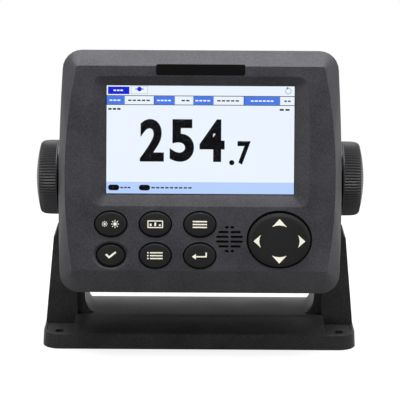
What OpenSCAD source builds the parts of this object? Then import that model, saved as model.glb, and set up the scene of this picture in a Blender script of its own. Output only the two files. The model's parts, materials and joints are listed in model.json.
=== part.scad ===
// Display unit of a satellite compass, held by two hand knobs between the arms of a table bracket.
// Origin: middle of the bracket's underside. +Z is up, the screen faces -Y, +X is to its right.
// The display is drawn in its own frame: Y is the depth behind its face, Z the height over the knobs' axis.

/* [Pose] */
// Lean of the display's face from upright, in degrees
tilt = 12.5; // [0:0.5:40]
// Height of the knobs' axis over the table
pivot_h = 82.7; // [80:0.1:100]
// Distance of the knobs' axis behind the middle of the base
pivot_y = 4; // [0:0.5:5]

/* [Front case] */
// Greatest width of the case
body_w = 144; // [140:0.5:150]
// Reach of the case over the knobs' axis
body_top = 65.3; // [63:0.1:75]
// Reach of the case under the knobs' axis
body_bottom = 58; // [56:0.1:62]
// Radius of the case's corners
corner_r = 10; // [6:0.5:14]
// How much narrower the case is at its top than at its widest
body_bow = 2.5; // [0:0.1:4]
// Greatest width of the flat face
face_w = 136.4; // [132:0.1:138]
// Reach of the flat face over the knobs' axis
face_top = 56.8; // [55:0.1:60]
// Reach of the flat face under the knobs' axis
face_bottom = 46.1; // [46:0.1:50]
// How much narrower the face is at its top than at its widest
face_bow = 5.9; // [0:0.1:8]
// Radius of the face's corners
face_r = 1.6; // [0.5:0.1:3]
// Depth of the slope round the face
bevel_d = 11; // [8:0.5:14]
// Depth of the front case
rim_d = 19; // [17:0.5:20]
// Wall of the case
wall = 2.6; // [2:0.1:3.2]
// Thickness of the front panel
panel_t = 3; // [2.4:0.1:3.4]

/* [Screen] */
// Height of the screen's middle over the knobs' axis
screen_z = 19.86; // [18:0.02:22]
// Width of the sunk frame round the screen
recess_w = 110.2; // [104:0.2:114]
// Reach of the sunk frame over the screen's middle
recess_up = 31.9; // [30:0.1:34]
// Reach of the sunk frame under the screen's middle
recess_down = 33.5; // [31:0.1:34.5]
// Depth of the sunk frame
recess_d = 3.4; // [2:0.1:4]
// Width of the screen opening
window_w = 95.5; // [92:0.1:98]
// Height of the screen opening
window_h = 54.8; // [52:0.1:56]
// Radius of the screen opening's corners
window_r = 1.2; // [0.4:0.1:2]
// Thickness of the ledge that the pane is stuck to
ledge_t = 1; // [0.8:0.1:1.6]
// Thickness of the glass pane
pane_t = 1.5; // [1:0.1:1.8]
// Width and height of the liquid crystal panel
lcd_size = [105.5, 67.2]; // [100:0.1:108]
// Thickness of the liquid crystal panel
lcd_t = 2.4; // [1.6:0.1:2.6]

/* [Keys] */
// Width of a key
key_w = 16.4; // [14:0.1:18]
// Height of a key
key_h = 13; // [11:0.1:13.4]
// Gap round a key
key_gap = 0.35; // [0.2:0.05:0.5]
// Distance between the columns of keys
key_pitch = 22.4; // [20:0.1:23]
// Depth of the upper row under the knobs' axis
key_row_1 = 22.6; // [22:0.1:23.4]
// Depth of the lower row under the knobs' axis
key_row_2 = 38.4; // [37.6:0.1:39]
// How far a key stands out of the panel
key_proud = 1.3; // [0.6:0.1:1.8]
// How far a key goes in
key_travel = 0.8; // [0.4:0.05:0.85]
// Share of the other keys' size that the sunk alarm key has
small_key_share = 0.89; // [0.8:0.01:1]
// Width of the dish round the sunk key
dish_w = 18.6; // [17:0.1:20]
// Height of the dish round the sunk key
dish_h = 14.2; // [13:0.1:15]
// Depth of the dish round the sunk key
dish_d = 1.2; // [0.6:0.1:1.4]

/* [Cursor pad] */
// Width of the cursor pad
pad_w = 32.2; // [28:0.1:33]
// Height of the cursor pad
pad_h = 28.4; // [24:0.1:29]
// Gap round the cursor pad
pad_gap = 0.45; // [0.3:0.05:0.6]
// Distance of the cursor pad's middle to the right of the screen's middle
pad_x = 40; // [39:0.1:41]
// Depth of the cursor pad's middle under the knobs' axis
pad_z = 30; // [29:0.1:30.6]
// How far the cursor pad stands out of the panel
pad_proud = 1.8; // [0.8:0.1:2.4]

/* [Sounder grille] */
// Distance of the grille's middle to the right of the screen's middle
grille_x = 15; // [14:0.1:16]
// Radius of the round field that the slots fill
grille_r = 7; // [5:0.1:7.2]
// Distance between the rows of slots
slot_pitch = 2.4; // [2:0.05:2.6]
// Height of a slot
slot_h = 1.2; // [0.8:0.05:1.4]
// Width of the bar down the grille's middle
grille_bar = 0.9; // [0.6:0.05:1.4]

/* [Badge] */
// Width of the bare plate at the top of the face
badge_w = 44.7; // [30:0.1:50]
// Height of the bare plate
badge_h = 5.5; // [4:0.1:6]
// Distance of the plate's middle under the top of the face
badge_drop = 1.8; // [1:0.1:2]

/* [Rear case] */
// Width of the rear case between the arms
rear_w = 116; // [108:0.5:116]
// Reach of the rear case over the knobs' axis
rear_top = 50; // [44:0.5:54]
// Reach of the rear case under the knobs' axis
rear_bottom = 44; // [38:0.5:46]
// Depth of the whole housing
body_d = 66; // [62:0.5:70]
// Radius of the rear case's corners
rear_r = 8; // [4:0.5:12]
// Depth of the slope round the back
rear_bevel = 5; // [2:0.5:6]
// Thickness of the flange that closes the front case
flange_t = 3; // [2.4:0.1:3.2]
// Thickness of the case's gasket
gasket_t = 0.8; // [0.5:0.1:1.2]

/* [Bracket base] */
// Width of the base on the table
base_w = 163; // [158:0.5:170]
// Depth of the base on the table
base_d = 66; // [62:0.5:74]
// Height of the base's edge
base_h = 8; // [6:0.5:10]
// Radius of the base's corners
base_r = 9; // [6:0.5:12]
// Rise of the curved floor over the base's edge
floor_rise = 5.2; // [3:0.1:7]
// Wall of the base and the arms
shell_t = 3; // [2.4:0.1:3.6]
// Distance between the left and right screw holes
hole_pitch_x = 145.4; // [144:0.2:147]
// Distance between the front and back screw holes
hole_pitch_y = 50.6; // [48:0.2:52]
// Radius of a screw hole
hole_r = 2.4; // [2:0.1:3]
// Depth of the sunk pads round the screw holes
pad_sink = 0.6; // [0.3:0.1:1]

/* [Bracket arms] */
// Distance between the arms' inner faces
arm_gap = 120.8; // [120.6:0.1:122]
// Distance between the inner edges of the arms' front columns
column_gap = 128.4; // [127:0.2:130]
// Width over the arms at their feet
arm_foot_w = 161.6; // [158:0.2:161.8]
// Width over the arms at their shoulders
arm_shoulder_w = 152.8; // [152:0.2:154]
// Width over the arms at the knobs
arm_head_w = 146.4; // [146:0.1:147]
// Distance of the arms' shoulders below the knobs
shoulder_drop = 9; // [6:0.5:12]
// Distance of the arms' front faces before the middle of the base
arm_front = 13; // [11:0.5:14]
// Distance of the arms' back faces behind the middle of the base
arm_back = 17; // [16:0.5:18]
// Height at which the arms start to lean back
arm_knee_h = 23; // [18:0.5:28]
// Radius of the arms' round heads
arm_head_r = 12; // [11.5:0.5:13]
// How far the inner web stands behind the columns' faces
web_set = 3; // [1:0.5:4]
// Width of the round corner between floor and arm
root_w = 5.6; // [3:0.1:7]
// Height of the round corner between floor and arm
root_h = 9; // [5:0.5:11]

/* [Knobs] */
// Diameter of a knob
knob_d = 39.4; // [34:0.2:42]
// Distance between the knobs' outer ends
knob_span = 171.6; // [168:0.2:174]
// Number of ribs round a knob
rib_count = 80; // [40:4:96]
// Depth of the grooves between the ribs
rib_depth = 0.5; // [0.2:0.05:0.8]
// Radius of a knob's bolt
bolt_r = 4; // [3:0.5:4]
// Thickness of the plain washer under a knob
washer_t = 1.2; // [0.8:0.1:1.3]
// Thickness of the rubber washer between case and arm
friction_t = 2.1; // [1:0.1:2.1]
// Travel of a bolt in one turn of its thread
thread_pitch = 1.25; // [1:0.25:1.5]

/* [Hidden] */
$fn = 48;
// overrun of cuts, thickness of a hull's end sheets, clearance of fixed pieces, running clearance
over = 1;
sheet = 0.01;
fixed_gap = 0.03;
run_gap = 0.06;
// gap between pieces of different bodies that only lie near each other
rest_gap = 0.3;

// places along the depth of the display
pivot_d = 44;
ledge_d = recess_d + ledge_t;
seal_t = 0.4;
pane_d = ledge_d + seal_t;
lcd_d = pane_d + pane_t + rest_gap;
backlight_t = 1.4;
frame_wall = 2;
board_d = 13.5;
board_t = 1.6;
flange_d = rim_d + gasket_t;
case_inset = 0.6;
flange_inset = 2;

// sunk frame, pane and panel of the screen
recess_bow = 1.5;
recess_r = 5;
ledge_lip = 0.4;
ledge_rim = 0.65;
pane_lap = 3;
ribbon_w = 30;
ribbon_t = 0.3;

// keys and the pieces under them
flange_lip = 1;
flange_thick = 1;
key_flange_d = panel_t + rest_gap;
dome_d = key_flange_d + flange_thick + key_travel + rest_gap;
key_dome_h = 1.6;
key_top_share = 0.72;
mat_d = 7;
mat_t = 1;
mat_dome_share = 0.6;
keypad_t = 1.4;
small_w = key_w * small_key_share;
small_h = key_h * small_key_share;
dome_steps = 4;
oval_sides = 40;

// cursor pad: slope round its top, room for its rocking, the disc it rocks on, the domes under it
pad_slope = 1.8;
pad_round = 0.4;
pad_tip = 0.75;
rock_gap = 0.5;
pad_flange_d = panel_t + rest_gap + pad_tip;
pad_back_d = pad_flange_d + flange_thick;
rocker_r = 5;
pad_dome_r = 2.5;
pad_dome_at = 10;

// sounder, badge
buzzer_r = 6;
badge_r = 1;
badge_proud = 0.2;
badge_in = 1.3;

// boards and their posts
board_half_w = 61;
slim_post_r = 2.8;
keypad_post_r = 1.9;
small_screw_r = 0.9;
small_screw_len = 6;
board_post = [58, 40, 10];
pad_post = [15, 12];

// back of the rear case: cable inlets and earth screw
back_t = 3;
inlet_x = 22;
inlet_z = 24;
inlet_bore_r = 7;
inlet_flange_r = 10;
inlet_flange_t = 2.5;
inlet_r = 8;
inlet_len = 11;
contacts_r = 6;
contacts_in = 1;
ground_z = 34;
stud_r = 2;
stud_len = 8;
nut_r = 4;
nut_h = 3;

// curved floor of the base: an arc over the base's depth
floor_r = (pow(base_d / 2, 2) + pow(floor_rise, 2)) / (2 * floor_rise);
floor_z = base_h + floor_rise - floor_r;
pad_level = base_h - pad_sink;
pad_inner_x = column_gap / 2 + shell_t / 3;
pad_rim = 1.4;
edge_draft = 0.5;
edge_round = 0.4;

// arms: height of the shoulder, step back at it, height of the neck over it, lean of the outer side
shoulder_h = pivot_h - knob_d / 2 - shoulder_drop;
shoulder_step = 1;
neck_h = 11;
arm_lean = (arm_foot_w - arm_shoulder_w) / 2 / (shoulder_h - pad_level);

// left and right stacks on the knobs' axis, measured from the middle
web_x = arm_gap / 2;
column_x = column_gap / 2;
head_x = arm_head_w / 2;
knob_x = head_x + run_gap + washer_t;
knob_t = knob_span / 2 - knob_x;
insert_len = 12;
insert_r = 6;
bolt_in = 9;
bolt_grip = 7;
boss_r = 9;
washer_r = 10;
friction_r = 11;
knob_edge_r = 4;
knob_face_r = 85;

// Points of a circular arc
function arc(cx, cz, r, from, to, n) = [
  for (i = [0:n]) let (a = from + (to - from) * i / n) [cx + r * cos(a), cz + r * sin(a)]
];
function mirrored(pts) = [for (i = [len(pts) - 1:-1:0]) [-pts[i][0], pts[i][1]]];
function oval(a, b) = [
  for (i = [0:oval_sides - 1]) let (t = 360 * i / oval_sides) [a * cos(t), b * sin(t)]
];
function rounded(half_w, low, high, r) = let (
  half = concat(arc(half_w - r, low + r, r, -90, 0, 6), arc(half_w - r, high - r, r, 0, 90, 6))
) concat(half, mirrored(half));

// Half width of a bowed outline at height z: widest at mid, narrower by bow at its top
function bowed(half_w, bow, mid, top, z) = half_w - bow * pow((z - mid) / (top - mid), 2);
// Closed outline of a case: bowed sides, round corners
function case_outline(half_w, bow, mid, low, high, r) = let (
  side = [
    for (i = [1:7]) let (z = low + r + (high - low - 2 * r) * i / 8) [bowed(half_w, bow, mid, high, z), z]
  ],
  foot = arc(bowed(half_w, bow, mid, high, low + r) - r, low + r, r, -90, 0, 6),
  head = arc(bowed(half_w, bow, mid, high, high - r) - r, high - r, r, 0, 90, 6),
  half = concat(foot, side, head)
) concat(half, mirrored(half));
body_mid = -body_bottom / 6;
face_mid = 0;
function outer(inset) = case_outline(
  body_w / 2 - inset, body_bow, body_mid, inset - body_bottom, body_top - inset, corner_r - inset
);
function face(inset) = case_outline(
  face_w / 2 - inset, face_bow, face_mid, inset - face_bottom, face_top - inset, face_r
);

// Key places: name order is brightness, screen, menu, alarm, list, enter
key_x = [-2 * key_pitch, -key_pitch, 0, -2 * key_pitch, -key_pitch, 0];
key_z = [-key_row_1, -key_row_1, -key_row_1, -key_row_2, -key_row_2, -key_row_2];
key_half_w = [key_w, key_w, key_w, small_w, key_w, key_w] / 2;
key_half_h = [key_h, key_h, key_h, small_h, key_h, key_h] / 2;

// Screws of the case: along the edge, and on the corners' diagonals
screw_head_r = 3;
screw_head_t = 1.8;
screw_slot_w = 0.7;
screw_r = 1.5;
screw_len = 9;
post_r = 4;
screw_in = wall + screw_head_r;
corner_share = 0.7;
screw_corner = corner_r - (corner_r - screw_in) * corner_share;
screw_top_x = body_w / 2 - body_bow - screw_corner;
screw_foot_x = body_w / 2 - body_bow / 2 - screw_corner;
case_screw_xz = [
  [0, body_top - screw_in], [0, screw_in - body_bottom],
  [-screw_top_x, body_top - screw_corner], [screw_top_x, body_top - screw_corner],
  [-screw_foot_x, screw_corner - body_bottom], [screw_foot_x, screw_corner - body_bottom]
];
board_post_xz = [for (x = [-board_post[0], board_post[0]], z = [board_post[1], -board_post[2]]) [x, z]];
row_middle = (key_row_1 + key_row_2) / 2;
keypad_post_xz = [
  [-1.5 * key_pitch, -row_middle], [-key_pitch / 2, -row_middle],
  [pad_x - pad_post[0], pad_post[1] - pad_z], [pad_x - pad_post[0], -pad_post[1] - pad_z]
];
inlet_xz = [[-inlet_x, -inlet_z], [inlet_x, -inlet_z]];

// Turns the display's own frame into the bracket's
module on_display() {
  translate([0, pivot_y, pivot_h]) rotate([-tilt, 0, 0]) translate([0, -pivot_d, 0]) children();
}
// A plate of an outline in X and Z, from one depth to another
module plate(pts, from, to) {
  translate([0, to, 0]) rotate([90, 0, 0]) linear_extrude(to - from) polygon(pts);
}
// A round rod along the depth
module rod(x, z, r, from, to) {
  translate([x, to, z]) rotate([90, 0, 0]) cylinder(r = r, h = to - from);
}
// A round rod along X, at the knobs' axis in the display's frame
module axle(r, from, to) {
  translate([from, pivot_d, 0]) rotate([0, 90, 0]) cylinder(r = r, h = to - from);
}
module at(x, z) {
  translate([x, 0, z]) children();
}
module both_sides() {
  children();
  mirror([1, 0, 0]) children();
}

// Point where a line from p touches the left (side 1) or right (side -1) of a circle
function touch(p, c, r, side) = let (
  v = c - p,
  a = atan2(v[1], v[0]) + side * asin(r / norm(v))
) p + sqrt(v * v - r * r) * [cos(a), sin(a)];

// Bracket: an arm's side outline in Y and Z, with a round head about the knobs' axis
module arm_side(front, back) {
  axis = [pivot_y, pivot_h];
  knee = [-front, arm_knee_h];
  heel = [back, base_h];
  r = arm_head_r - fixed_gap;
  polygon([[-front, 0], knee, touch(knee, axis, r, 1), axis, touch(heel, axis, r, -1), heel, [back, 0]]);
  translate(axis) circle(r = arm_head_r);
}
// Outer side of an arm in X and Z: it leans in, steps back at its shoulder and stands upright at the knob
function arm_outer(inset) = [
  [arm_foot_w / 2 - inset, pad_level],
  [arm_shoulder_w / 2 - inset, shoulder_h],
  [arm_shoulder_w / 2 - shoulder_step - inset, shoulder_h + shoulder_step],
  [head_x + shoulder_step - inset, shoulder_h + neck_h / 2],
  [head_x - inset, shoulder_h + neck_h]
];
// A slab of an arm: its side outline, cut to an outline in X and Z
module arm_slab(front, back, pts) {
  intersection() {
    rotate([90, 0, 90]) linear_extrude(base_w) arm_side(front, back);
    plate(pts, -base_d, base_d);
  }
}
module arm() {
  top = pivot_h + arm_head_r + over;
  web_back_x = column_x + shell_t / 2;
  difference() {
    arm_slab(arm_front, arm_back, concat(
      [[column_x, 0], [arm_foot_w / 2, 0]], arm_outer(0), [[head_x, top], [column_x, top]]
    ));
    arm_channel();
  }
  arm_slab(arm_front - web_set, arm_back - web_set, [
    [web_x, 0], [web_back_x, 0], [web_back_x, top], [web_x, top]
  ]);
}
// Hollow of an arm, open to the back
module arm_channel() {
  low = base_h + shell_t;
  high = shoulder_h + neck_h / 2;
  inner_x = column_x + shell_t;
  side = arm_outer(shell_t);
  intersection() {
    plate([
      [inner_x, low], [side[0][0] - (low - pad_level) * arm_lean, low], side[1], side[3], [inner_x, high]
    ], -base_d, base_d);
    rotate([90, 0, 90]) linear_extrude(base_w) polygon([
      [shell_t - arm_front, low], [shell_t - arm_front, arm_knee_h],
      [shell_t - arm_head_r + pivot_y, high], [base_d, high], [base_d, low]
    ]);
  }
}
// Round corner between the curved floor and an arm
module arm_root() {
  toe = web_x - root_w;
  start = floor_r - fixed_gap;
  curve = [for (i = [0:8]) let (a = 90 * i / 8) [start + root_h * (1 - cos(a)), toe + root_w * sin(a)]];
  intersection() {
    translate([0, 0, floor_z]) rotate([0, 90, 0]) rotate_extrude($fn = 240) polygon(concat(
      [[start - over, toe]], curve, [[start + root_h, web_x + over], [start - over, web_x + over]]
    ));
    translate([0, web_set - arm_front, 0]) cube([base_w, arm_front + arm_back - 2 * web_set, pivot_h]);
  }
}
module floor_block(r, half_w, half_d, low) {
  intersection() {
    translate([-half_w, 0, floor_z]) rotate([0, 90, 0]) cylinder(r = r, h = 2 * half_w, $fn = 240);
    translate([-half_w, -half_d, low]) cube([2 * half_w, 2 * half_d, base_h + floor_rise - low]);
  }
}
module base_sheet(inset, z) {
  translate([0, 0, z]) linear_extrude(sheet) polygon(
    rounded(base_w / 2 - inset, inset - base_d / 2, base_d / 2 - inset, base_r - inset)
  );
}
module base_block() {
  hull() {
    base_sheet(0, 0);
    base_sheet(edge_draft, base_h - edge_round);
    base_sheet(edge_draft + edge_round, base_h - sheet);
  }
}
module base_pads() {
  reach = base_w / 2 - pad_rim - edge_draft;
  both_sides() intersection() {
    translate([pad_inner_x, -base_d, pad_level]) cube([base_w, 2 * base_d, base_h]);
    translate([0, 0, pad_level]) linear_extrude(base_h) polygon(
      rounded(reach, pad_rim + edge_draft - base_d / 2, base_d / 2 - pad_rim - edge_draft, base_r - pad_rim)
    );
  }
}
// Hollows under the base, between its ribs
module base_hollows() {
  half_w = pad_inner_x - 2 * shell_t;
  bay = (2 * half_w - 2 * shell_t) / 3;
  half_d = base_d / 2 - shell_t - edge_draft - edge_round;
  for (i = [-1:1]) intersection() {
    floor_block(floor_r - shell_t, half_w, half_d, -over);
    translate([i * (bay + shell_t) - bay / 2, -base_d, -over]) cube([bay, 2 * base_d, 2 * base_h]);
  }
  both_sides() plate_pocket();
}
// Hollow under an arm, between the screw holes
module plate_pocket() {
  from = web_x + shell_t;
  half_d = hole_pitch_y / 2 - hole_r - shell_t;
  translate([from, -half_d, -over])
    cube([base_w / 2 - edge_draft - shell_t - from, 2 * half_d, pad_level - shell_t + over]);
}
module bracket() color([0.2, 0.2, 0.21]) difference() {
  union() {
    difference() {
      base_block();
      base_pads();
    }
    floor_block(floor_r, pad_inner_x, base_d / 2 - edge_draft - edge_round / 2, 0);
    both_sides() {
      arm();
      arm_root();
    }
  }
  base_hollows();
  for (x = [-1, 1], y = [-1, 1]) translate([x * hole_pitch_x / 2, y * hole_pitch_y / 2, -over])
    cylinder(r = hole_r, h = base_h + 2 * over);
  translate([-base_w / 2, pivot_y, pivot_h]) rotate([0, 90, 0]) cylinder(r = bolt_r + run_gap, h = base_w);
}

// Front case
module case_shell() {
  hull() {
    plate(face(0), 0, sheet);
    plate(outer(0), bevel_d, bevel_d + sheet);
  }
  plate(outer(0), bevel_d, rim_d);
}
module case_cavity() {
  hull() {
    plate(face(wall), panel_t, panel_t + sheet);
    plate(outer(wall), bevel_d, bevel_d + sheet);
  }
  plate(outer(wall), bevel_d, rim_d + over);
  plate(keypad_rect(rest_gap), panel_t, bevel_d);
}
function keypad_rect(grow) = rounded(
  pad_x + pad_w / 2 + flange_lip + grow, -key_row_2 - key_h / 2 - flange_lip - grow,
  screen_z - lcd_size[1] / 2 - frame_wall - 2 * rest_gap, window_r
);
function recess(grow) = case_outline(
  recess_w / 2 + grow, recess_bow, screen_z - recess_down / 3, screen_z - recess_down - grow,
  screen_z + recess_up + grow, recess_r
);
function screen_rect(grow) = rounded(
  window_w / 2 + grow, screen_z - window_h / 2 - grow, screen_z + window_h / 2 + grow, window_r + grow / 2
);
module screen_recess() {
  hull() {
    plate(recess(sheet), -sheet, 0);
    plate(screen_rect(ledge_lip), recess_d, recess_d + sheet);
  }
  plate(screen_rect(0), recess_d, ledge_d + over);
}
module key_holes() {
  for (i = [0:5]) at(key_x[i], key_z[i])
    plate(oval(key_half_w[i] + key_gap, key_half_h[i] + key_gap), -over, panel_t + over);
  at(pad_x, -pad_z) plate(oval(pad_w / 2 + pad_gap, pad_h / 2 + pad_gap), -over, panel_t + over);
  at(key_x[3], key_z[3]) hull() {
    plate(oval(dish_w / 2, dish_h / 2), -sheet, 0);
    plate(oval(small_w / 2 + key_gap, small_h / 2 + key_gap), dish_d, dish_d + sheet);
  }
}
module slot(from, to) {
  r = slot_h / 2;
  translate([from + r, -r]) square([to - from - 2 * r, slot_h]);
  for (x = [from + r, to - r]) translate([x, 0]) circle(r = r, $fn = 24);
}
module grille_slots() {
  translate([0, panel_t + over, 0]) rotate([90, 0, 0]) linear_extrude(panel_t + 2 * over)
    for (i = [0:5], turn = [0, 180]) let (z = (i - 2.5) * slot_pitch) rotate(turn) translate([0, z])
      slot(grille_bar / 2, sqrt(pow(grille_r, 2) - pow(abs(z) + slot_h / 2, 2)));
}
module badge_outline(grow) {
  middle = face_top - badge_drop;
  half_h = badge_h / 2 + grow;
  plate(rounded(badge_w / 2 + grow, middle - half_h, middle + half_h, badge_r), -badge_proud, badge_in);
}
module front_case() color([0.27, 0.27, 0.3]) on_display() difference() {
  union() {
    difference() {
      case_shell();
      case_cavity();
    }
    plate(recess(ledge_rim), panel_t - over, ledge_d);
    for (p = case_screw_xz) rod(p[0], p[1], post_r, bevel_d, rim_d);
    for (p = board_post_xz) rod(p[0], p[1], slim_post_r, panel_t - over, board_d);
    for (p = keypad_post_xz) rod(p[0], p[1], keypad_post_r, panel_t - over, mat_d + mat_t);
  }
  screen_recess();
  key_holes();
  at(grille_x, -pad_z) grille_slots();
  badge_outline(fixed_gap);
  for (p = case_screw_xz) rod(p[0], p[1], screw_r + fixed_gap, bevel_d + over, rim_d + over);
  for (p = board_post_xz)
    rod(p[0], p[1], small_screw_r + fixed_gap, board_d - small_screw_len, board_d + over);
  for (p = keypad_post_xz)
    rod(p[0], p[1], small_screw_r + fixed_gap, mat_d + mat_t - small_screw_len / 2, mat_d + mat_t + over);
}
module badge_plate() color([0.05, 0.05, 0.05]) on_display() badge_outline(0);

// Rear case
function rear(inset) = rounded(rear_w / 2 - inset, inset - rear_bottom, rear_top - inset, rear_r - inset);
module rear_case() color([0.25, 0.25, 0.27]) on_display() difference() {
  union() {
    hull() {
      plate(outer(case_inset), flange_d, flange_d + flange_t / 2);
      plate(outer(flange_inset), flange_d + flange_t - sheet, flange_d + flange_t);
    }
    plate(rear(0), flange_d + flange_t - sheet, body_d - rear_bevel);
    hull() {
      plate(rear(0), body_d - rear_bevel - sheet, body_d - rear_bevel);
      plate(rear(wall), body_d - sheet, body_d);
    }
  }
  difference() {
    plate(rear(wall), flange_d - over, body_d - back_t);
    both_sides() axle(boss_r, rear_w / 2 - wall - insert_len, rear_w / 2);
  }
  both_sides() axle(insert_r + fixed_gap, rear_w / 2 - insert_len, rear_w / 2 + over);
  for (p = case_screw_xz) rod(p[0], p[1], screw_r + fixed_gap, flange_d - over, flange_d + flange_t + over);
  for (p = inlet_xz) rod(p[0], p[1], inlet_bore_r + fixed_gap, body_d - back_t - over, body_d + over);
  rod(0, -ground_z, stud_r + fixed_gap, body_d - back_t - over, body_d + over);
}
module case_gasket() color([0.07, 0.07, 0.07]) on_display() difference() {
  plate(outer(case_inset), rim_d, flange_d);
  plate(outer(wall), rim_d - over, flange_d + over);
}
module case_screws() color([0.75, 0.75, 0.76]) on_display() for (p = case_screw_xz) difference() {
  union() {
    rod(p[0], p[1], screw_head_r, flange_d + flange_t, flange_d + flange_t + screw_head_t);
    rod(p[0], p[1], screw_r, rim_d - screw_len + flange_t, flange_d + flange_t + sheet);
  }
  for (turn = [0, 90]) translate([p[0], flange_d + flange_t + screw_head_t, p[1]]) rotate([0, turn, 0])
    cube([2 * screw_r, screw_head_t, screw_slot_w], center = true);
}

// Screen
module window_gasket() color([0.03, 0.03, 0.03]) on_display() difference() {
  plate(screen_rect(pane_lap), ledge_d, pane_d);
  plate(screen_rect(0), ledge_d - over, pane_d + over);
}
module display_window() color([0.8, 0.85, 0.9, 0.4]) on_display()
  plate(screen_rect(pane_lap), pane_d, pane_d + pane_t);
function lcd_rect(grow) = rounded(
  lcd_size[0] / 2 + grow, screen_z - lcd_size[1] / 2 - grow, screen_z + lcd_size[1] / 2 + grow, window_r
);
module lcd_panel() color([0.9, 0.93, 1]) on_display() plate(lcd_rect(0), lcd_d, lcd_d + lcd_t);
module lcd_backlight() color([0.95, 0.95, 0.9]) on_display()
  plate(lcd_rect(-window_r), lcd_d + lcd_t, lcd_d + lcd_t + backlight_t);
module lcd_frame() color([0.6, 0.6, 0.62]) on_display() difference() {
  plate(lcd_rect(frame_wall), lcd_d, board_d);
  plate(lcd_rect(fixed_gap), lcd_d - over, lcd_d + lcd_t + backlight_t);
  plate(lcd_rect(-3 * frame_wall), lcd_d, board_d + over);
  translate([-ribbon_w / 2 - over, lcd_d - over, screen_z - lcd_size[1] / 2 - frame_wall - over])
    cube([ribbon_w + 2 * over, lcd_t + over, frame_wall + 2 * over]);
}
module lcd_ribbon() color([0.75, 0.5, 0.2]) on_display() {
  foot = screen_z - lcd_size[1] / 2;
  low = foot - frame_wall - fixed_gap - ribbon_t;
  start = lcd_d + lcd_t / 2;
  translate([-ribbon_w / 2, 0, 0]) rotate([90, 0, 90]) linear_extrude(ribbon_w) polygon([
    [start, foot], [start, low], [board_d, low],
    [board_d, low + ribbon_t], [start + ribbon_t, low + ribbon_t], [start + ribbon_t, foot]
  ]);
}

// Keys: a domed oval cap with a lip behind the panel
module key(i, sink) {
  w = key_half_w[i];
  h = key_half_h[i];
  top = sink - key_proud;
  at(key_x[i], key_z[i]) {
    hull() for (j = [0:dome_steps]) let (
      a = 90 * j / dome_steps,
      k = 1 - (1 - key_top_share) * (1 - cos(a)),
      d = top + key_dome_h * (1 - sin(a))
    ) plate(oval(w * k, h * k), d, d + sheet);
    plate(oval(w, h), top + key_dome_h, key_flange_d + flange_thick / 2);
    plate(oval(w + flange_lip, h + flange_lip), key_flange_d, key_flange_d + flange_thick);
  }
}
module brightness_key() color([0.13, 0.13, 0.13]) on_display() key(0, 0);
module screen_key() color([0.13, 0.13, 0.13]) on_display() key(1, 0);
module menu_key() color([0.13, 0.13, 0.13]) on_display() key(2, 0);
module alarm_key() color([0.13, 0.13, 0.13]) on_display() key(3, dish_d);
module list_key() color([0.13, 0.13, 0.13]) on_display() key(4, 0);
module enter_key() color([0.13, 0.13, 0.13]) on_display() key(5, 0);
module cursor_pad() color([0.12, 0.12, 0.12]) on_display() at(pad_x, -pad_z) {
  w = pad_w / 2;
  h = pad_h / 2;
  hull() {
    plate(oval(w - pad_slope, h - pad_slope), -pad_proud, sheet - pad_proud);
    plate(oval(w - pad_slope / 4, h - pad_slope / 4), pad_round - pad_proud, pad_round + sheet - pad_proud);
    plate(oval(w, h), 2 * pad_round - pad_proud, 2 * pad_round + sheet - pad_proud);
  }
  plate(oval(w, h), 2 * pad_round - pad_proud, pad_flange_d + flange_thick / 2);
  plate(oval(w + flange_lip, h + flange_lip), pad_flange_d, pad_back_d);
}
module cursor_rocker() color([0.3, 0.3, 0.3]) on_display()
  rod(pad_x, -pad_z, rocker_r, pad_back_d + rock_gap, mat_d - 2 * rest_gap);
module keypad_mat() color([0.1, 0.1, 0.1]) on_display() difference() {
  union() {
    plate(keypad_rect(0), mat_d, mat_d + mat_t);
    for (i = [0:5]) rod(key_x[i], key_z[i], key_half_h[i] * mat_dome_share, dome_d, mat_d + sheet);
    for (p = [[-pad_dome_at, 0], [pad_dome_at, 0], [0, -pad_dome_at], [0, pad_dome_at]])
      rod(pad_x + p[0], p[1] - pad_z, pad_dome_r, pad_back_d + rock_gap + rest_gap, mat_d + sheet);
  }
  rod(grille_x, -pad_z, buzzer_r + rest_gap, mat_d - over, mat_d + mat_t + over);
  for (p = keypad_post_xz) rod(p[0], p[1], keypad_post_r + rest_gap, mat_d - over, mat_d + mat_t + over);
}
module keypad_board() color([0.1, 0.35, 0.2]) on_display() difference() {
  plate(keypad_rect(0), mat_d + mat_t, mat_d + mat_t + keypad_t);
  for (p = keypad_post_xz)
    rod(p[0], p[1], small_screw_r + fixed_gap, mat_d, mat_d + mat_t + keypad_t + over);
}
module buzzer() color([0.08, 0.08, 0.08]) on_display()
  rod(grille_x, -pad_z, buzzer_r, panel_t + 2 * rest_gap, mat_d + mat_t);
module buzzer_mesh() color([0.05, 0.05, 0.05]) on_display()
  rod(grille_x, -pad_z, grille_r + flange_lip, panel_t, panel_t + rest_gap / 2);
module main_board() color([0.1, 0.35, 0.2]) on_display() {
  back = board_d + board_t;
  difference() {
    plate(
      rounded(board_half_w, flange_inset - rear_bottom, rear_top - flange_inset, window_r), board_d, back
    );
    for (p = board_post_xz) rod(p[0], p[1], small_screw_r + fixed_gap, board_d - over, back + over);
  }
}
module small_screw(p, head_d, len) {
  rod(p[0], p[1], 2 * small_screw_r, head_d, head_d + small_screw_r);
  rod(p[0], p[1], small_screw_r, head_d - len, head_d + sheet);
}
module board_screws() color([0.75, 0.75, 0.76]) on_display() {
  for (p = board_post_xz) small_screw(p, board_d + board_t, small_screw_len);
  for (p = keypad_post_xz) small_screw(p, mat_d + mat_t + keypad_t, small_screw_len / 2);
}

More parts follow.
